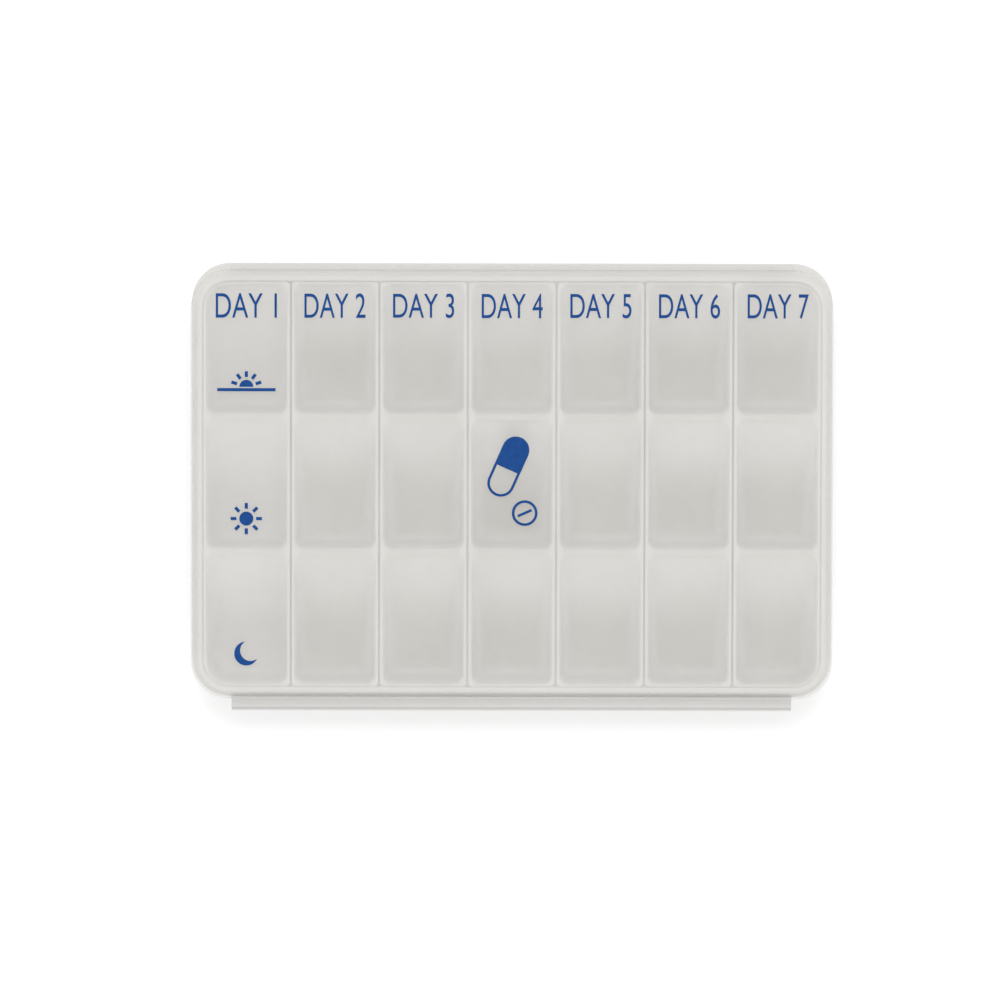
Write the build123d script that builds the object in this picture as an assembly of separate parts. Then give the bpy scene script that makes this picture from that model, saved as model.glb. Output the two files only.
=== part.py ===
from build123d import *

import math
import os

# Weekly pill organizer in frosted translucent plastic, lying on its back with the lid up.
# A flanged case holds seven drop-in day trays of three cells each. One flat lid with a skirt
# closes them all. A thin plastic film along the front edge is the hinge. Along the back edge a
# lip on the lid is lifted off the case's wider flange to open the snap.
# Millimetres. +X runs along the days, +Y from the hinge to the grip lips, +Z up through the lid.
# The origin is the centre of the case's flat underside.

# Counts
DAYS = 7
MEALS = 3

# Cells: one drafted pocket for each time of day, with a ramp that the tablets slide out over
CELL_X = 20.15
CELL_Y = 32.1
CELL_DEPTH = 16.9
CELL_CORNER = 2.2
CELL_DRAFT_DEGREES = 3.2
CELL_FLOOR_ROUND = 2.0
RAMP_LIP = 1.0
RAMP_RUN = 22.0
RAMP_ROUND = 12.0
GATE_NUB_RADIUS = 0.7
GATE_NUB_HEIGHT = 0.3

# Day trays
TRAY_WALL = 0.7
MEAL_WALL = 1.6
TRAY_FLOOR = 0.9
TRAY_CORNER = 1.0
TRAY_FOOT_CHAMFER = 0.4
TRAY_LIP_FILLET = 0.2
TRAY_GAP = 0.5
TRAY_CLEARANCE = 0.3

# Case
CASE_WALL = 1.1
CASE_FLOOR = 1.2
CASE_FOOT_FILLET = 1.6
WELL_CORNER = 6.75
WELL_FOOT_FILLET = 0.6
FLANGE_TOP = 12.5
FLANGE_THICKNESS = 1.3
FLANGE_EDGE_FILLET = 0.3
FLANGE_LEDGE = 1.5

# Lid
LID_CLEARANCE = 0.35
LID_SKIRT = 1.3
LID_TOP = 1.4
LID_HEADROOM = 0.3
LID_SEAT_GAP = 0.3
LID_EDGE_FILLET = 1.1
LID_INNER_FILLET = 0.25

# Film hinge along the front edge
HINGE_END_GAP = 0.375
LEAF_REACH = 2.6
LEAF_THICKNESS = 1.3
FILM_THICKNESS = 0.3
FILM_STRAIGHT = 0.45

# Grip lip and snap rails along the back edge
LIP_REACH = 1.35
LIP_THICKNESS = 1.3
LIP_END_FILLET = 0.5
SNAP_LENGTH = 60.0
SNAP_PROUD = 0.22
SNAP_HEIGHT = 0.5
SNAP_SPACING = 0.1
SNAP_RISE = 1.6

# Overrun of cutting tools past the faces that they open
OVERRUN = 5.0

# Day tray sizes
tray_x = CELL_X + 2 * TRAY_WALL
tray_y = MEALS * CELL_Y + (MEALS - 1) * MEAL_WALL + 2 * TRAY_WALL
tray_z = CELL_DEPTH + TRAY_FLOOR
tray_pitch = tray_x + TRAY_GAP
meal_pitch = CELL_Y + MEAL_WALL
cell_shrink = CELL_DEPTH * math.tan(math.radians(CELL_DRAFT_DEGREES))
cell_end_corner = WELL_CORNER - TRAY_CLEARANCE - TRAY_WALL
ramp_slope = (CELL_DEPTH - RAMP_LIP) / RAMP_RUN
ramp_wall_rise = TRAY_FLOOR * math.sqrt(1 + ramp_slope ** 2)
tray_top = CASE_FLOOR + tray_z

# The ramp's round ends on the flat of the cell's floor, clear of the front round and corners
floor_room = CELL_Y - RAMP_RUN - CELL_FLOOR_ROUND - CELL_CORNER
ramp_round = min(RAMP_ROUND, floor_room / math.tan(math.atan(ramp_slope) / 2))

# Outlines from the inside out: the well, the case wall, the inside of the skirt, the lid
well_x = DAYS * tray_x + (DAYS - 1) * TRAY_GAP + 2 * TRAY_CLEARANCE
well_y = tray_y + 2 * TRAY_CLEARANCE
case_x = well_x + 2 * CASE_WALL
case_y = well_y + 2 * CASE_WALL
case_corner = WELL_CORNER + CASE_WALL
skirt_x = case_x + 2 * LID_CLEARANCE
skirt_y = case_y + 2 * LID_CLEARANCE
skirt_corner = case_corner + LID_CLEARANCE
lid_x = skirt_x + 2 * LID_SKIRT
lid_y = skirt_y + 2 * LID_SKIRT
lid_corner = skirt_corner + LID_SKIRT

# The lip fills the straight part of a long side, and the hinge stops just short of its ends
lip_length = lid_x - 2 * lid_corner
hinge_length = lip_length - 2 * HINGE_END_GAP

# The flange follows the lid's outline, but stands out past it along the back edge
flange_y = lid_y + FLANGE_LEDGE

# Heights
lid_low = FLANGE_TOP + LID_SEAT_GAP
lid_inside = tray_top + LID_HEADROOM
lid_high = lid_inside + LID_TOP

# The hinge lies where the film, laid flat, is as long as it is when folded
film_half_gap = LID_SEAT_GAP / 2
film_mean_radius = film_half_gap + FILM_THICKNESS / 2
film_length = 2 * FILM_STRAIGHT + math.pi * film_mean_radius
hinge_z = FLANGE_TOP + film_half_gap
leaf_end_y = -lid_y / 2 - LEAF_REACH
hinge_y = leaf_end_y - film_length / 2


def block(x_span, y_span, z_span):
    """A box between two X, two Y and two Z values."""
    centre = [(low + high) / 2 for low, high in (x_span, y_span, z_span)]
    size = [high - low for low, high in (x_span, y_span, z_span)]
    return Pos(*centre) * Box(*size)


def rounded_prism(size_x, size_y, corner, z_low, z_high):
    """An upright prism on a rectangle with round corners."""
    outline = RectangleRounded(size_x, size_y, corner)
    return Pos(0, 0, z_low) * extrude(outline, amount=z_high - z_low)


def cornered_face(size_x, size_y, radii):
    """A rectangle with its own radius at each corner, anticlockwise from the low corner."""
    points = [(-size_x / 2, -size_y / 2), (size_x / 2, -size_y / 2)]
    points += [(size_x / 2, size_y / 2), (-size_x / 2, size_y / 2)]
    return make_face(FilletPolyline(*points, radius=radii, close=True))


def low_edges(solid):
    return solid.edges().group_by(Axis.Z)[0]


def high_edges(solid):
    return solid.edges().group_by(Axis.Z)[-1]


def corner_radii(day, small, large):
    """Radii for one tray or cell column: the first and last day follow the well's corners."""
    left = large if day == 0 else small
    right = large if day == DAYS - 1 else small
    return [left, right, right, left]


def across_tray(points):
    """A prism along X, wider than a tray, on a closed outline of points given as (y, z)."""
    side = Plane((-tray_x, 0, 0), x_dir=(0, 1, 0), z_dir=(1, 0, 0)) * make_face(Polyline(*points, close=True))
    return extrude(side, amount=2 * tray_x)


def cell_profile():
    """The cell seen from the side, as a prism: steep front wall, short floor and long ramp."""
    front, back = -CELL_Y / 2 - OVERRUN, CELL_Y / 2 + OVERRUN
    foot = CELL_Y / 2 - RAMP_RUN
    ramp_end = -RAMP_LIP + ramp_slope * OVERRUN
    outline = [(front, OVERRUN), (front, -CELL_DEPTH), (foot, -CELL_DEPTH), (back, ramp_end), (back, OVERRUN)]
    prism = across_tray(outline)
    foot_edge = prism.edges().filter_by(Axis.X).group_by(Axis.Z)[0].sort_by(Axis.Y)[-1]
    return fillet(foot_edge, ramp_round)


def cell_space(day, meal):
    """The hollow of one cell, with its mouth at z = 0 and a small gate nub left in its floor."""
    low_left, low_right, high_right, high_left = corner_radii(day, CELL_CORNER, cell_end_corner)
    radii = [low_left if meal == 0 else CELL_CORNER, low_right if meal == 0 else CELL_CORNER]
    last = meal == MEALS - 1
    radii += [high_right if last else CELL_CORNER, high_left if last else CELL_CORNER]
    mouth = cornered_face(CELL_X, CELL_Y, radii)
    space = extrude(mouth, amount=CELL_DEPTH, dir=(0, 0, -1), taper=CELL_DRAFT_DEGREES)
    space = space & cell_profile()
    front_edge = low_edges(space).filter_by(Axis.X).sort_by(Axis.Y)[0]
    space = fillet(front_edge, CELL_FLOOR_ROUND)
    nub_y = cell_shrink - CELL_Y / 2 + CELL_FLOOR_ROUND + GATE_NUB_RADIUS
    nub = Cylinder(GATE_NUB_RADIUS, 2 * GATE_NUB_HEIGHT)
    return space - Pos(0, nub_y, -CELL_DEPTH) * nub


def ramp_hollow():
    """The space under one ramp, open below, so that the ramp is a wall and not a lump."""
    back, foot = CELL_Y / 2, CELL_Y / 2 - RAMP_RUN
    top = -RAMP_LIP - ramp_wall_rise
    low = -CELL_DEPTH - ramp_wall_rise
    floor = -tray_z - OVERRUN
    return across_tray([(back, top), (foot, low), (foot, floor), (back, floor)])


def day_tray(day):
    """One day's tray, seated on the case's floor."""
    end_corner = WELL_CORNER - TRAY_CLEARANCE
    outline = cornered_face(tray_x, tray_y, corner_radii(day, TRAY_CORNER, end_corner))
    body = extrude(outline, amount=tray_z)
    body = chamfer(low_edges(body), TRAY_FOOT_CHAMFER)
    inside = cornered_face(CELL_X, tray_y - 2 * TRAY_WALL, corner_radii(day, CELL_CORNER, cell_end_corner))
    under = Pos(0, 0, -OVERRUN) * extrude(inside, amount=tray_z + OVERRUN)
    for meal in range(MEALS):
        place = Pos(0, (meal - (MEALS - 1) / 2) * meal_pitch, tray_z)
        body -= place * cell_space(day, meal)
        body -= place * ramp_hollow() & under
    body = fillet(high_edges(body), TRAY_LIP_FILLET)
    day_x = (day - (DAYS - 1) / 2) * tray_pitch
    return Pos(day_x, 0, CASE_FLOOR) * body


def case():
    """The tray-shaped case with the flange that the lid's skirt sits over."""
    wall = rounded_prism(case_x, case_y, case_corner, 0, tray_top)
    wall = fillet(low_edges(wall), CASE_FOOT_FILLET)
    flange = rounded_prism(lid_x, flange_y, lid_corner, FLANGE_TOP - FLANGE_THICKNESS, FLANGE_TOP)
    flange = fillet(low_edges(flange) + high_edges(flange), FLANGE_EDGE_FILLET)
    flange = Pos(0, FLANGE_LEDGE / 2, 0) * flange
    well = rounded_prism(well_x, well_y, WELL_CORNER, CASE_FLOOR, tray_top + OVERRUN)
    well = fillet(low_edges(well), WELL_FOOT_FILLET)
    return wall + flange - well


def lid():
    """The lid: a flat top with a skirt that reaches down over the case's wall."""
    shell = rounded_prism(lid_x, lid_y, lid_corner, lid_low, lid_high)
    shell = fillet(high_edges(shell), LID_EDGE_FILLET)
    shell = fillet(low_edges(shell), FLANGE_EDGE_FILLET)
    inside = rounded_prism(skirt_x, skirt_y, skirt_corner, lid_low - OVERRUN, lid_inside)
    inside = fillet(high_edges(inside), LID_INNER_FILLET)
    return shell - inside


def strip(length, y_span, z_span):
    """A straight bar of the given length along X."""
    return block((-length / 2, length / 2), y_span, z_span)


def hinge_leaves():
    """The two stiff leaves at the hinge: one on the case's flange, one on the lid's skirt."""
    root_y = -lid_y / 2 + FLANGE_EDGE_FILLET
    reach = (leaf_end_y, root_y)
    case_leaf = strip(hinge_length, reach, (FLANGE_TOP - LEAF_THICKNESS, FLANGE_TOP))
    lid_leaf = strip(hinge_length, reach, (lid_low, lid_low + LEAF_THICKNESS))
    return case_leaf - case(), lid_leaf - lid()


def hinge_film():
    """The thin film between the two leaves, folded into a U while the lid is shut."""
    outer = film_half_gap + FILM_THICKNESS
    fold_y = leaf_end_y - FILM_STRAIGHT
    leg = strip(hinge_length, (fold_y, leaf_end_y), (hinge_z - outer, hinge_z + outer))
    slot = strip(hinge_length, (fold_y, leaf_end_y), (hinge_z - film_half_gap, hinge_z + film_half_gap))
    bend = Pos(0, fold_y, hinge_z) * Rot(0, 90, 0) * (
        Cylinder(outer, hinge_length) - Cylinder(film_half_gap, hinge_length)
    )
    bend -= strip(hinge_length, (fold_y, fold_y + outer), (hinge_z - outer, hinge_z + outer))
    return leg - slot + bend


def grip_lip():
    """The lip along the lid's back edge: a thumb lifts it off the flange."""
    reach = (lid_y / 2 - FLANGE_EDGE_FILLET, lid_y / 2 + LIP_REACH)
    lip = strip(lip_length, reach, (lid_low, lid_low + LIP_THICKNESS))
    lip = fillet(lip.edges().filter_by(Axis.Z).group_by(Axis.Y)[-1], LIP_END_FILLET)
    return lip - lid()


def snap_rail(wall_y, towards, middle_z):
    """A low rounded rail on a flat wall: it stands out from wall_y along Y."""
    tip_y = wall_y + towards * SNAP_PROUD
    low, high = middle_z - SNAP_HEIGHT / 2, middle_z + SNAP_HEIGHT / 2
    profile = make_face(
        Polyline((wall_y, low), (wall_y, high))
        + ThreePointArc((wall_y, high), (tip_y, middle_z), (wall_y, low))
    )
    section = Plane((-SNAP_LENGTH / 2, 0, 0), x_dir=(0, 1, 0), z_dir=(1, 0, 0)) * profile
    return extrude(section, amount=SNAP_LENGTH)


def snap_rails():
    """The rail on the case's back wall, and the one inside the skirt that clicks under it."""
    lid_rail_z = lid_low + SNAP_RISE
    case_rail_z = lid_rail_z + SNAP_HEIGHT + SNAP_SPACING
    return snap_rail(case_y / 2, 1, case_rail_z), snap_rail(skirt_y / 2, -1, lid_rail_z)


def main():
    pieces = {"case": case(), "lid": lid(), "hinge_film": hinge_film(), "lid_grip_lip": grip_lip()}
    pieces["case_hinge_leaf"], pieces["lid_hinge_leaf"] = hinge_leaves()
    pieces["case_snap_rail"], pieces["lid_snap_rail"] = snap_rails()
    for day in range(DAYS):
        pieces[f"day_tray_{day + 1}"] = day_tray(day)
    os.makedirs("parts", exist_ok=True)
    for name, shape in pieces.items():
        export_step(shape, f"parts/{name}.step")


if __name__ == "__main__":
    main()
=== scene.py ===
# %% [markdown]
# A weekly pill organizer in frosted plastic, photographed from above. The shapes of the case, the
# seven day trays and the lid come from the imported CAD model, because a moulded box is all flat
# walls and clean radii, which a CAD kernel gives exactly. This lesson adds what the solids can't
# carry: the milky plastic, the printed signs, the soft hinge film, the light and the camera.

# %% Load the frame
import bmesh
import bpy
import math
from mathutils import Matrix, Vector


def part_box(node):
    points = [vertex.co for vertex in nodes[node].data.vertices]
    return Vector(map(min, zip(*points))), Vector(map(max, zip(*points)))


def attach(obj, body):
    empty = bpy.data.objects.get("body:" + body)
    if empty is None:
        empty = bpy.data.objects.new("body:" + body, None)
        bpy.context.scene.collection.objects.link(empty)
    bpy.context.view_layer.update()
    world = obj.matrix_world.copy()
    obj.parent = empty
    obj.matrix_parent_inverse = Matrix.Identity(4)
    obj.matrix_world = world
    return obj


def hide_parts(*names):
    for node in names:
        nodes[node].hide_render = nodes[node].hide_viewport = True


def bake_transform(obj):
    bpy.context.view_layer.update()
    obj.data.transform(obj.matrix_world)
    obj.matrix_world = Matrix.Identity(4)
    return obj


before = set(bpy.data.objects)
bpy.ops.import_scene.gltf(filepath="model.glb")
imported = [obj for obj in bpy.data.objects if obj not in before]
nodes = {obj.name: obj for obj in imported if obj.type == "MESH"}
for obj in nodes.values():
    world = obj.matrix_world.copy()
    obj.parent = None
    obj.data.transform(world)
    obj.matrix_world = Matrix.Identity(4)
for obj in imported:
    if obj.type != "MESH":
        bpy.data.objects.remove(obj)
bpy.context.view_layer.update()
MM = 0.001

# %% [markdown]
# Everything is placed from the solids. The lid's top face carries the print, and each tray's middle
# gives a column. Measuring the nodes instead of repeating numbers keeps the print on its columns if
# the CAD model is resized. Only the step from row to row can't be read from a box, so it is given
# here: a cell and the wall behind it.

# %% Measure the lid, the columns and the rows
ROWS = 3
DAYS = 7
ROW_PITCH = 33.7 * MM
lid_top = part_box("lid")[1].z
tray_boxes = [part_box(f"day_tray_{day}") for day in range(1, DAYS + 1)]
column_x = [(low.x + high.x) / 2 for low, high in tray_boxes]
row_y = [((ROWS - 1) / 2 - row) * ROW_PITCH for row in range(ROWS)]
print("columns at", [round(x / MM, 2) for x in column_x], "rows at", [round(y / MM, 2) for y in row_y])

# %% [markdown]
# The camera looks down on the lid through a long lens, as a catalogue picture is taken, from a few
# degrees on the side of the far edge. A long lens far away keeps the walls of the cells from
# fanning out. One pixel of the picture is a quarter of a millimetre on the lid, and the box sits a
# little right of and above the middle.

# %% Camera
PIXEL = 0.2491 * MM
PICTURE_PIXELS = 1000
LID_MIDDLE_PIXEL = (512.6, 485.0)
CAMERA_DISTANCE = 1.7
CAMERA_LEAN = math.radians(3.0)
CAMERA_ROLL = math.radians(0.12)
SENSOR_WIDTH = 36.0

picture_width = PICTURE_PIXELS * PIXEL
camera_data = bpy.data.cameras.new("camera")
camera_data.sensor_width = SENSOR_WIDTH
camera_data.lens = SENSOR_WIDTH * CAMERA_DISTANCE / picture_width
camera = bpy.data.objects.new("camera", camera_data)
bpy.context.scene.collection.objects.link(camera)
offset_x = (PICTURE_PIXELS / 2 - LID_MIDDLE_PIXEL[0]) * PIXEL
offset_y = (LID_MIDDLE_PIXEL[1] - PICTURE_PIXELS / 2) * PIXEL
look_at = Vector((offset_x, offset_y, lid_top))
back = Vector((0, math.sin(CAMERA_LEAN), math.cos(CAMERA_LEAN)))
camera.location = look_at + back * CAMERA_DISTANCE
camera.rotation_euler = (-CAMERA_LEAN, 0, CAMERA_ROLL)
bpy.context.scene.camera = camera
print("lens in mm:", round(camera_data.lens, 1))

# %% [markdown]
# Shader maths reads best as plain sums. The first small class holds one socket of a node tree, and
# its operators add the Math node that does the sum. The second holds a new material. Any other node
# comes from its method called node, which takes the node's type, its settings, and the values or
# links of its sockets. The few nodes that are used again and again have a method of their own.

# %% Shader sums as Python expressions
MIX_FIRST = 6
MIX_SECOND = 7
MIX_RESULT = 2


class Wire:
    """An output socket that can be added, multiplied and so on."""

    def __init__(self, finish, socket):
        self.finish = finish
        self.socket = socket

    def combine(self, operation, first, second):
        return self.finish.node("ShaderNodeMath", {"operation": operation}, {0: first, 1: second})

    def __add__(self, other):
        return self.combine("ADD", self, other)

    def __sub__(self, other):
        return self.combine("SUBTRACT", self, other)

    def __rsub__(self, other):
        return self.combine("SUBTRACT", other, self)

    def __mul__(self, other):
        return self.combine("MULTIPLY", self, other)

    def larger(self, other):
        return self.combine("MAXIMUM", self, other)

    __radd__ = __add__
    __rmul__ = __mul__


class Finish:
    """A new material and the tools to fill its node tree."""

    def __init__(self, name):
        self.material = bpy.data.materials.new(name)
        self.material.use_nodes = True
        self.tree = self.material.node_tree
        self.tree.nodes.clear()
        self.output = self.tree.nodes.new("ShaderNodeOutputMaterial")

    def node(self, kind, settings, sockets, out=0):
        made = self.tree.nodes.new(kind)
        for key, value in settings.items():
            setattr(made, key, value)
        for key, value in sockets.items():
            if isinstance(value, Wire):
                self.tree.links.new(value.socket, made.inputs[key])
            else:
                made.inputs[key].default_value = value
        return Wire(self, made.outputs[out])

    def place(self):
        return self.node("ShaderNodeTexCoord", {}, {}, out="Object")

    def coordinates(self):
        """The Object coordinates of a point as three values."""
        split = self.node("ShaderNodeSeparateXYZ", {}, {"Vector": self.place()}).socket.node
        return [Wire(self, split.outputs[axis]) for axis in "XYZ"]

    def noise(self, scale, detail):
        sockets = {"Vector": self.place(), "Scale": scale, "Detail": detail}
        return self.node("ShaderNodeTexNoise", {}, sockets)

    def rise(self, value, low, high, top=1.0, curve="SMOOTHSTEP"):
        """Goes from 0, where the value is at low, to top, where it is at high."""
        sockets = {"Value": value, "From Min": low, "From Max": high, "To Max": top}
        return self.node("ShaderNodeMapRange", {"interpolation_type": curve}, sockets)

    def mix(self, share, first, second):
        """Goes from the first colour to the second with the share."""
        sockets = {"Factor": share, MIX_FIRST: first, MIX_SECOND: second}
        return self.node("ShaderNodeMix", {"data_type": "RGBA"}, sockets, out=MIX_RESULT)

    def surface(self, shader):
        self.tree.links.new(shader.socket, self.output.inputs["Surface"])
        return self.material


print("shader tools ready")

# %% [markdown]
# Colours are easier to choose as the 0 to 255 values that a paint program shows. Blender works in
# linear light, so each value goes through the standard curve first.

# %% Colours from paint program values
BYTE = 255.0
CURVE_FOOT = 0.04045
CURVE_SLOPE = 12.92
CURVE_SHIFT = 0.055
CURVE_POWER = 2.4
WHITE = (1, 1, 1, 1)


def paint(red, green, blue):
    linear = []
    for value in (red, green, blue):
        share = value / BYTE
        low = share / CURVE_SLOPE
        high = ((share + CURVE_SHIFT) / (1 + CURVE_SHIFT)) ** CURVE_POWER
        linear.append(low if share <= CURVE_FOOT else high)
    return (*linear, 1.0)


print("mid grey is", [round(value, 3) for value in paint(128, 128, 128)])

# %% [markdown]
# Frosted polypropylene is milky: part of the light goes straight through, part is scattered on in
# all directions, and the rest comes back from a finely grained skin. Two shaders are mixed for
# that. A Principled shader gives the skin with its soft gloss, a Translucent shader glows with
# light from behind, and the skin's Alpha lets the trays show through. Clouds in the colour and a
# fine spark-eroded grain keep it from looking like paper. The other way is a rough refracting
# glass, which is slower, noisier and loses the crisp lines of the cells under the lid.

# %% Frosted plastic
CLOUD_SCALE = 45.0
CLOUD_DETAIL = 3.0
CLOUD_ROUGHNESS = 0.16
CLOUD_ALPHA = 0.06
GRAIN_SCALE = 2600.0
GRAIN_DETAIL = 2.0
GRAIN_DEPTH = 0.006 * MM
GRAIN_STRENGTH = 0.5
GRAIN_ROUGHNESS = 0.10
NOISE_MIDDLE = 0.5
PLASTIC_IOR = 1.49


def frosted_plastic(finish, share, pale, deep, opacity, glow, gloss, bloom=0.0):
    """Fills a finish with milky plastic. The tint runs from deep to pale with the share. Glow is the
    part of the light that is scattered on from behind, and bloom is the weight of the sheen."""
    cloud = finish.noise(CLOUD_SCALE, CLOUD_DETAIL) - NOISE_MIDDLE
    grain = finish.noise(GRAIN_SCALE, GRAIN_DETAIL)
    tint = finish.mix(share, deep, pale)
    bump = finish.node("ShaderNodeBump", {}, {
        "Height": grain, "Distance": GRAIN_DEPTH, "Strength": GRAIN_STRENGTH})
    skin = finish.node("ShaderNodeBsdfPrincipled", {}, {
        "Base Color": tint,
        "Roughness": gloss + CLOUD_ROUGHNESS * cloud + GRAIN_ROUGHNESS * (grain - NOISE_MIDDLE),
        "Alpha": opacity + CLOUD_ALPHA * cloud,
        "Normal": bump,
        "IOR": PLASTIC_IOR,
        "Sheen Weight": bloom,
    })
    through = finish.node("ShaderNodeBsdfTranslucent", {}, {"Color": tint, "Normal": bump})
    return finish.surface(finish.node("ShaderNodeMixShader", {}, {"Fac": glow, 1: skin, 2: through}))


def cloudy_plastic(name, **looks):
    """Plastic whose tint drifts in soft clouds."""
    finish = Finish(name)
    return frosted_plastic(finish, finish.noise(CLOUD_SCALE, CLOUD_DETAIL), **looks)


lid_plastic = cloudy_plastic("lid_plastic", pale=paint(246, 245, 243), deep=paint(242, 241, 238),
                             opacity=0.25, glow=0.05, gloss=0.42)
case_plastic = cloudy_plastic("case_plastic", pale=paint(244, 243, 241), deep=paint(241, 239, 235),
                              opacity=0.62, glow=0.2, gloss=0.45)
strip_plastic = cloudy_plastic("strip_plastic", pale=paint(243, 242, 241), deep=paint(240, 239, 236),
                               opacity=0.8, glow=0.1, gloss=0.4)
film_plastic = cloudy_plastic("film_plastic", pale=paint(240, 239, 237), deep=paint(236, 234, 231),
                              opacity=0.7, glow=0.1, gloss=0.36)
print("plastics:", lid_plastic.name, case_plastic.name, strip_plastic.name, film_plastic.name)

# %% [markdown]
# A tray's thin floor passes more light than its walls, which are looked at along their height and
# so through more plastic, and so the walls are a milkier white. On top of that the tint carries
# painted light and shade: the floor is painted greyer the deeper it lies, a painted shade for the
# light that the lid and the walls keep from the bottom of a cell, and the walls are painted paler,
# in part a painted light for the light that they carry down from the top. Three distances in the
# tray's own coordinates tell them apart: the height of a point, how far it is across its column,
# with the slant of the walls taken off, and how far it is from the front of its row. The face at
# the front of each cell is painted paler, a painted highlight where the key light falls on it. The
# column at the case's left side gets light through that side too, which the see-through shader
# doesn't carry sideways, so its floor is tinted paler. The very edge at the top is a little darker,
# which draws the line round each cell. A little sheen gives the walls the bloom that frosted skin
# shows when it is looked at along its face.

# %% Plastic of the trays
COLUMN_PITCH = column_x[1] - column_x[0]
WALL_SLANT = math.tan(math.radians(3.2))
WALL_FOOT = 6.8 * MM
WALL_FACE = 9.7 * MM
FLOOR_LEVEL = 0.9 * MM
PLATEAU_LEVEL = 11.0 * MM
FRONT_FLOOR = 5.4 * MM
FRONT_FACE = 2.0 * MM
SIDE_LIGHT_END = -38.0 * MM
SIDE_LIGHT_FULL = -66.0 * MM
RIM_DEPTH = 0.5 * MM
# How much paler the painted light makes the floor towards the top and the front face of a cell.
PAINTED_LIGHT_SHARE = 0.7
SIDE_SHARE = 0.78
RIM_SHARE = 0.3
CLOUD_SHARE = 0.06
FLOOR_OPACITY = 0.56
WALL_OPACITY = 0.76
tray_low, tray_high = tray_boxes[0]


def tray_finish():
    finish = Finish("tray_plastic")
    x, y, z = finish.coordinates()
    across = finish.node("ShaderNodeMath", {"operation": "PINGPONG"}, {0: x, 1: COLUMN_PITCH / 2})
    along = finish.node("ShaderNodeMath", {"operation": "FLOORED_MODULO"},
                        {0: y + ROW_PITCH / 2, 1: ROW_PITCH})
    # Walls painted pale: partly their thicker plastic, partly painted light carried down from the top.
    wall_milk_and_painted_light = finish.rise(across + WALL_SLANT * (tray_high.z - z), WALL_FOOT, WALL_FACE)
    # Painted highlight: the front face of each cell is painted paler, where the key light falls on it.
    painted_front_highlight = finish.rise(along, FRONT_FLOOR, FRONT_FACE)
    # Painted shade: the floor is painted greyer the deeper it lies.
    painted_light_by_height = finish.rise(z, tray_low.z + FLOOR_LEVEL, tray_low.z + PLATEAU_LEVEL, curve="LINEAR")
    sideways = finish.rise(x, SIDE_LIGHT_END, SIDE_LIGHT_FULL, top=SIDE_SHARE)
    rim = finish.rise(z, tray_high.z - RIM_DEPTH, tray_high.z, top=RIM_SHARE, curve="LINEAR")
    paler = wall_milk_and_painted_light.larger(PAINTED_LIGHT_SHARE * painted_light_by_height.larger(painted_front_highlight)).larger(sideways)
    clouds = finish.noise(CLOUD_SCALE, CLOUD_DETAIL)
    return frosted_plastic(
        finish, (1 - CLOUD_SHARE) * paler + CLOUD_SHARE * clouds - rim,
        pale=paint(255, 255, 254), deep=paint(230, 226, 216),
        opacity=FLOOR_OPACITY + (WALL_OPACITY - FLOOR_OPACITY) * paler,
        glow=0.24, gloss=0.45, bloom=0.5)


tray_plastic = tray_finish()
print("plastic of the trays:", tray_plastic.name)

# %% [markdown]
# The box is moulded in one kind of plastic, but the lid, trays and case differ in thickness and
# so in milkiness. Each CAD node keeps its shape and only gets its finish here.

# %% Dress the solids
def dress(node, material):
    node.data.materials.clear()
    node.data.materials.append(material)


for name, node in nodes.items():
    if name.startswith("day_tray"):
        dress(node, tray_plastic)
    elif name.endswith("hinge_leaf"):
        dress(node, strip_plastic)
    elif name.startswith("lid"):
        dress(node, lid_plastic)
    else:
        dress(node, case_plastic)
print("dressed", len(nodes), "solids")

# %% [markdown]
# A finished mesh becomes a piece: an object at the origin with its place in its vertices, a
# material, and a body of the model to move with. The film and the floor get no body here, because
# one lies between two bodies and the other is no part of the box.

# %% Turn a mesh into a piece
def add_piece(name, bm, material, body=None):
    mesh = bpy.data.meshes.new(name)
    bm.to_mesh(mesh)
    bm.free()
    mesh.materials.append(material)
    piece = bpy.data.objects.new(name, mesh)
    bpy.context.scene.collection.objects.link(piece)
    if body:
        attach(piece, body)
    print("made", name, "with", len(mesh.polygons), "faces")
    return piece


# %% [markdown]
# The hinge is a thin skin of the same plastic, folded into a U while the lid is shut and laid out
# in a low arch when it is open. One vertex is drawn along the profile's outer side, spun round the
# fold and drawn back, the profile is pulled out to the hinge's length, and a wall thickness finishes
# it. A stiff node can't bend, so this piece, drawn in the shut pose, stands in for the CAD film,
# which is hidden.

# %% Hinge film
FILM_THICKNESS = 0.3 * MM
FOLD_STEPS = 16


def only_vertices(parts):
    return [part for part in parts if isinstance(part, bmesh.types.BMVert)]


def draw_on(bm, vertex, step):
    made = bmesh.ops.extrude_vert_indiv(bm, verts=[vertex])["verts"]
    bmesh.ops.translate(bm, verts=made, vec=step)
    return made[0]


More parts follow.
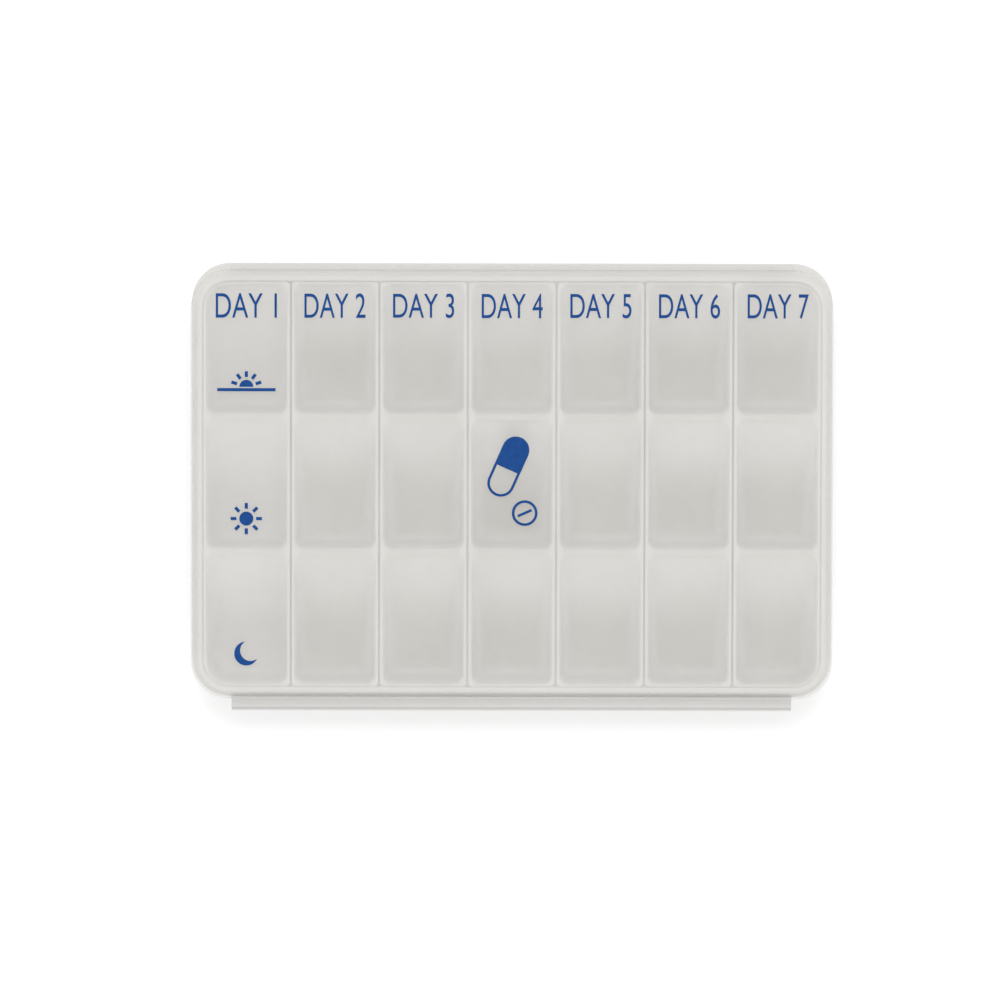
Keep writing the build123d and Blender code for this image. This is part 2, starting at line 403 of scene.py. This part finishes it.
film_low, film_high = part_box("hinge_film")
fold_radius = (film_high.z - film_low.z) / 2
fold_middle = Vector((film_low.x, film_low.y + fold_radius, (film_low.z + film_high.z) / 2))
leg = Vector((0, film_high.y - fold_middle.y, 0))
bm = bmesh.new()
leg_end = bm.verts.new(fold_middle + leg - Vector((0, 0, fold_radius)))
fold_start = draw_on(bm, leg_end, -leg)
spun = bmesh.ops.spin(bm, geom=[fold_start], cent=fold_middle, axis=(1, 0, 0), angle=-math.pi,
                      steps=FOLD_STEPS)
draw_on(bm, only_vertices(spun["geom_last"])[0], leg)
pulled = bmesh.ops.extrude_edge_only(bm, edges=list(bm.edges))["geom"]
bmesh.ops.translate(bm, verts=only_vertices(pulled), vec=(film_high.x - film_low.x, 0, 0))
bmesh.ops.recalc_face_normals(bm, faces=bm.faces)
bmesh.ops.solidify(bm, geom=bm.faces, thickness=FILM_THICKNESS)
bmesh.ops.recalc_face_normals(bm, faces=bm.faces)
film = add_piece("hinge_film_soft", bm, film_plastic)
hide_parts("hinge_film")
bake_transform(film)

# %% [markdown]
# The print is a thin layer of blue ink that a screen press lays on the lid. Ink is not perfectly
# even: it thins out in small clouds, and it dries a touch duller than the plastic. Each shape is
# drawn flat, given the thickness of the ink and set a hair into the lid's skin, so that no gap
# shows under it.

# %% Print ink
INK_HEIGHT = 0.03 * MM
INK_SINK = 0.02 * MM
INK_CLOUD_SCALE = 700.0
INK_CLOUD_DETAIL = 4.0
INK_RELIEF = 0.004 * MM
INK_STRENGTH = 0.4
INK_ROUGHNESS = 0.45
INK_CLOUD_ROUGHNESS = 0.2
INK_SPECULAR = 0.12


def print_ink():
    finish = Finish("print_ink")
    cloud = finish.noise(INK_CLOUD_SCALE, INK_CLOUD_DETAIL)
    bump = finish.node("ShaderNodeBump", {}, {
        "Height": cloud, "Distance": INK_RELIEF, "Strength": INK_STRENGTH})
    skin = finish.node("ShaderNodeBsdfPrincipled", {}, {
        "Base Color": finish.mix(cloud, paint(14, 58, 122), paint(28, 78, 142)),
        "Roughness": INK_ROUGHNESS + INK_CLOUD_ROUGHNESS * cloud,
        "Normal": bump,
        "Specular IOR Level": INK_SPECULAR,
    })
    return finish.surface(skin)


def raise_ink(bm):
    """Gives flat shapes the thickness of the ink."""
    bmesh.ops.recalc_face_normals(bm, faces=bm.faces)
    for face in bm.faces:
        if face.normal.z < 0:
            face.normal_flip()
    grown = bmesh.ops.extrude_face_region(bm, geom=list(bm.faces))["geom"]
    bmesh.ops.translate(bm, verts=only_vertices(grown), vec=(0, 0, INK_HEIGHT + INK_SINK))
    bmesh.ops.recalc_face_normals(bm, faces=bm.faces)


def set_on_lid(bm, x, y):
    raise_ink(bm)
    bmesh.ops.translate(bm, verts=bm.verts, vec=(x, y, lid_top - INK_SINK))


ink = print_ink()
print("ink", ink.name)

# %% [markdown]
# Each column carries a plain count of the days, from 1 to 7. Blender's own font is a light, even
# sans, close to the print on such boxes. The text is made a mesh, scaled to the height of the
# print, narrowed a little to fit its cell and grown by a hair all round, because print is bolder
# than the font. Then it is set over its tray near the far edge.

# %% Day labels
LABEL_HEIGHT = 6.1 * MM
LABEL_WIDTH = 15.2 * MM
LABEL_Y = 44.6 * MM
LABEL_BOLD = 0.07 * MM
SAME_POINT = 0.001 * MM


def label_mesh(text):
    curve = bpy.data.curves.new("label_curve", "FONT")
    curve.body = text
    letters = bpy.data.objects.new("label_curve", curve)
    bpy.context.scene.collection.objects.link(letters)
    bpy.context.view_layer.update()
    graph = bpy.context.evaluated_depsgraph_get()
    mesh = bpy.data.meshes.new_from_object(letters.evaluated_get(graph))
    bpy.data.objects.remove(letters)
    bm = bmesh.new()
    bm.from_mesh(mesh)
    bmesh.ops.remove_doubles(bm, verts=bm.verts, dist=SAME_POINT)
    low = Vector(map(min, zip(*[vertex.co for vertex in bm.verts])))
    high = Vector(map(max, zip(*[vertex.co for vertex in bm.verts])))
    bmesh.ops.translate(bm, verts=bm.verts, vec=-(low + high) / 2)
    narrow = LABEL_WIDTH / (high.x - low.x)
    tall = LABEL_HEIGHT / (high.y - low.y)
    bmesh.ops.scale(bm, verts=bm.verts, vec=(narrow, tall, 1))
    bmesh.ops.inset_region(bm, faces=bm.faces, thickness=LABEL_BOLD, use_boundary=True,
                           use_even_offset=True, use_outset=True)
    return bm


for day, x in enumerate(column_x, start=1):
    bm = label_mesh(f"DAY {day}")
    set_on_lid(bm, x, LABEL_Y)
    add_piece(f"day_label_{day}", bm, ink, "lid")

# %% [markdown]
# The first column also carries a plain sign for each time of day: a rising sun, a high sun and a
# moon. They are flat shapes, and four small tools draw them: a disc, a bar, a turn about the middle
# of the sign, and a cut through that middle.

# %% Discs, bars and turns
CIRCLE_STEPS = 48
HALF_UNIT = 0.5


def disc(bm, radius, x, y):
    made = bmesh.ops.create_circle(bm, cap_ends=True, radius=radius, segments=CIRCLE_STEPS)["verts"]
    bmesh.ops.translate(bm, verts=made, vec=(x, y, 0))
    return made


def bar(bm, size_x, size_y, x, y):
    made = bmesh.ops.create_grid(bm, x_segments=1, y_segments=1, size=HALF_UNIT)["verts"]
    bmesh.ops.scale(bm, verts=made, vec=(size_x, size_y, 1))
    bmesh.ops.translate(bm, verts=made, vec=(x, y, 0))
    return made


def turn(bm, verts, angle):
    bmesh.ops.rotate(bm, verts=verts, cent=(0, 0, 0), matrix=Matrix.Rotation(angle, 3, "Z"))


def cut_across(bm, normal, **options):
    """Cuts everything along the line through the middle that the normal stands on."""
    whole = list(bm.verts) + list(bm.edges) + list(bm.faces)
    bmesh.ops.bisect_plane(bm, geom=whole, plane_co=(0, 0, 0), plane_no=normal, **options)


print("flat shapes with", CIRCLE_STEPS, "steps to a circle")

# %% [markdown]
# Both suns are a disc with rays. The rising one is cut in half and stands over a long bar, the
# horizon. The disc has corners right on the cut, so the cut is told how near counts as on it, and
# makes no slivers there.

# %% Suns
SUN_RADIUS = 1.75 * MM
RAY_GAP = 0.7 * MM
RAY_LENGTH = 1.45 * MM
RAY_WIDTH = 0.8 * MM
HORIZON_LENGTH = 14.5 * MM
RISING_RAYS = {"count": 5, "first": 18, "last": 162}
HIGH_RAYS = {"count": 8, "first": 0, "last": 315}


def rays(bm, count, first, last):
    """Bars round the sun from one angle to another, in degrees."""
    for number in range(count):
        made = bar(bm, RAY_LENGTH, RAY_WIDTH, SUN_RADIUS + RAY_GAP + RAY_LENGTH / 2, 0)
        turn(bm, made, math.radians(first + (last - first) * number / (count - 1)))


def rising_sun():
    bm = bmesh.new()
    disc(bm, SUN_RADIUS, 0, 0)
    cut_across(bm, (0, -1, 0), clear_outer=True, dist=SAME_POINT)
    rays(bm, **RISING_RAYS)
    bmesh.ops.translate(bm, verts=bm.verts, vec=(0, -SUN_RADIUS / 2, 0))
    bar(bm, HORIZON_LENGTH, RAY_WIDTH, 0, -SUN_RADIUS / 2 - RAY_GAP)
    return bm


def high_sun():
    bm = bmesh.new()
    disc(bm, SUN_RADIUS, 0, 0)
    rays(bm, **HIGH_RAYS)
    return bm


print("suns", round(2 * SUN_RADIUS / MM, 2), "mm across without their rays")

# %% [markdown]
# The moon is a crescent between two arcs. One vertex at a tip is spun about the moon's middle to the
# other tip, and from there back about a middle that is shifted towards the open side. The loop of
# edges is then filled with one face.

# %% Moon, and the three signs on the lid
SIGN_DROP = 8.5 * MM
MOON_RADIUS = 3.0 * MM
MOON_BITE = 1.3 * MM
MOON_OPENING = math.radians(120)
MOON_TURN = math.radians(35)


def moon():
    bm = bmesh.new()
    half = MOON_OPENING / 2
    tip = bm.verts.new((MOON_RADIUS * math.cos(half), MOON_RADIUS * math.sin(half), 0))
    outer = bmesh.ops.spin(bm, geom=[tip], cent=(0, 0, 0), axis=(0, 0, 1),
                           angle=math.tau - MOON_OPENING, steps=CIRCLE_STEPS)
    end = only_vertices(outer["geom_last"])[0]
    inner_middle = Vector((MOON_BITE, 0, 0))
    reach = end.co - inner_middle
    inner_turn = math.tau - 2 * math.atan2(abs(reach.y), reach.x)
    bmesh.ops.spin(bm, geom=[end], cent=inner_middle, axis=(0, 0, 1), angle=-inner_turn,
                   steps=CIRCLE_STEPS)
    bmesh.ops.remove_doubles(bm, verts=bm.verts, dist=SAME_POINT)
    bmesh.ops.contextual_create(bm, geom=list(bm.edges))
    turn(bm, bm.verts, MOON_TURN)
    return bm


sign_makers = {"sign_morning": rising_sun, "sign_noon": high_sun, "sign_night": moon}
for (name, make), y in zip(sign_makers.items(), row_y):
    bm = make()
    set_on_lid(bm, column_x[0], y - SIGN_DROP)
    add_piece(name, bm, ink, "lid")

# %% [markdown]
# In the middle of the lid sits a plain capsule with a round tablet beside it, a sign that any such
# box could carry. The capsule's outline is two half circles, filled and cut in two. One half stays
# solid, and an inset turns the other half and the tablet into outlines.

# %% Capsule and tablet sign
CAPSULE_RADIUS = 3.4 * MM
CAPSULE_STRAIGHT = 9.0 * MM
CAPSULE_TILT = math.radians(-24)
CAPSULE_SHIFT = Vector((-0.9, 3.2, 0)) * MM
TABLET_RADIUS = 3.2 * MM
TABLET_SHIFT = Vector((3.2, -8.4, 0)) * MM
SIGN_LINE = 0.65 * MM
SIGN_Y = 1.4 * MM


def outline_of(bm, faces):
    """Turns flat faces into a line of even width that runs just inside their edges."""
    bmesh.ops.inset_region(bm, faces=faces, thickness=SIGN_LINE, use_boundary=True, use_even_offset=True)
    bmesh.ops.delete(bm, geom=faces, context="FACES_ONLY")


def capsule():
    """A round-ended bar cut in two: a solid half and an outlined half."""
    bm = bmesh.new()
    for side in (-1, 1):
        end_y = side * CAPSULE_STRAIGHT / 2
        ring = disc(bm, CAPSULE_RADIUS, 0, end_y)
        inner = [vertex for vertex in ring if side * (vertex.co.y - end_y) < -SAME_POINT]
        bmesh.ops.delete(bm, geom=inner, context="VERTS")
    bmesh.ops.contextual_create(bm, geom=list(bm.verts))
    cut_across(bm, (0, 1, 0))
    outline_of(bm, [face for face in bm.faces if face.calc_center_median().y < 0])
    turn(bm, bm.verts, CAPSULE_TILT)
    bmesh.ops.translate(bm, verts=bm.verts, vec=CAPSULE_SHIFT)
    return bm


def tablet():
    """A round outline with the score line that a tablet is broken along."""
    bm = bmesh.new()
    disc(bm, TABLET_RADIUS, 0, 0)
    outline_of(bm, list(bm.faces))
    bar(bm, 2 * (TABLET_RADIUS - 2 * SIGN_LINE), SIGN_LINE, 0, 0)
    turn(bm, bm.verts, -CAPSULE_TILT)
    bmesh.ops.translate(bm, verts=bm.verts, vec=TABLET_SHIFT)
    return bm


for name, make in (("sign_capsule", capsule), ("sign_tablet", tablet)):
    bm = make()
    set_on_lid(bm, 0, SIGN_Y)
    add_piece(name, bm, ink, "lid")

# %% [markdown]
# The floor is a large pale sheet that keeps the soft shadow of the box. A sheet that is painted
# quite white would throw too much light back into the plastic, so it is painted grey, and a glow
# that only the camera sees lifts it to white.

# %% Floor
FLOOR_SIZE = 8.0
FLOOR_PARTS = 4
FLOOR_LIFT = 0.45
FIBRE_SCALE = 300.0
FIBRE_DETAIL = 3.0
FIBRE_ROUGHNESS = 0.05
SHEET_ROUGHNESS = 0.9


def white_sheet():
    finish = Finish("white_sheet")
    fibre = finish.noise(FIBRE_SCALE, FIBRE_DETAIL)
    skin = finish.node("ShaderNodeBsdfPrincipled", {}, {
        "Base Color": finish.mix(fibre, paint(206, 206, 206), paint(208, 208, 208)),
        "Roughness": SHEET_ROUGHNESS + FIBRE_ROUGHNESS * fibre,
        "Specular IOR Level": 0.0,
    })
    lift = finish.node("ShaderNodeEmission", {}, {"Color": WHITE, "Strength": FLOOR_LIFT})
    lifted = finish.node("ShaderNodeAddShader", {}, {0: skin, 1: lift})
    seen = finish.node("ShaderNodeLightPath", {}, {}, out="Is Camera Ray")
    return finish.surface(finish.node("ShaderNodeMixShader", {}, {"Fac": seen, 1: skin, 2: lifted}))


bm = bmesh.new()
bmesh.ops.create_grid(bm, x_segments=FLOOR_PARTS, y_segments=FLOOR_PARTS, size=FLOOR_SIZE / 2)
floor = add_piece("floor", bm, white_sheet())

# %% [markdown]
# For the camera the world behind the floor is plain white, while the light that it sends to the
# object stays gentle.

# %% World
WORLD_LIGHT = 0.66

world = bpy.data.worlds.new("studio")
world.use_nodes = True
tree = world.node_tree
light = tree.nodes["Background"]
light.inputs["Color"].default_value = WHITE
light.inputs["Strength"].default_value = WORLD_LIGHT
seen = tree.nodes.new("ShaderNodeBackground")
seen.inputs["Color"].default_value = WHITE
path = tree.nodes.new("ShaderNodeLightPath")
choose = tree.nodes.new("ShaderNodeMixShader")
tree.links.new(path.outputs["Is Camera Ray"], choose.inputs["Fac"])
tree.links.new(light.outputs["Background"], choose.inputs[1])
tree.links.new(seen.outputs["Background"], choose.inputs[2])
tree.links.new(choose.outputs["Shader"], tree.nodes["World Output"].inputs["Surface"])
bpy.context.scene.world = world
print("world light", WORLD_LIGHT)

# %% [markdown]
# A soft box above the far edge is the key light. It leaves a soft shadow along the near wall. A
# wider and weaker one on the near side fills the hinge strip and that wall. With the world they
# light the box to a level at which a colour looks about as it is written.

# %% Lamps
KEY_PLACE = (0, 0.85, 1.6)
KEY_SIZE = 0.9
KEY_POWER = 14.0
FILL_PLACE = (0, -1.3, 1.0)
FILL_SIZE = 1.2
FILL_POWER = 7.0


def soft_box(name, place, size, power):
    light = bpy.data.lights.new(name, "AREA")
    light.shape = "SQUARE"
    light.size = size
    light.energy = power
    lamp = bpy.data.objects.new(name, light)
    lamp.location = place
    lamp.rotation_euler = (-Vector(place)).to_track_quat("-Z", "Y").to_euler()
    bpy.context.scene.collection.objects.link(lamp)
    print("lamp", name, power, "W")


soft_box("key_box", KEY_PLACE, KEY_SIZE, KEY_POWER)
soft_box("fill_box", FILL_PLACE, FILL_SIZE, FILL_POWER)

# %% [markdown]
# The Standard view shows each colour as it was written. A line of sight runs through the lid and
# then through the walls and floors of trays and case, so it may cross more see-through layers than
# Blender allows by itself.

# %% Picture settings
SEE_THROUGH_LAYERS = 24

bpy.context.scene.view_settings.view_transform = "Standard"
bpy.context.scene.cycles.transparent_max_bounces = SEE_THROUGH_LAYERS
print("view transform", bpy.context.scene.view_settings.view_transform)
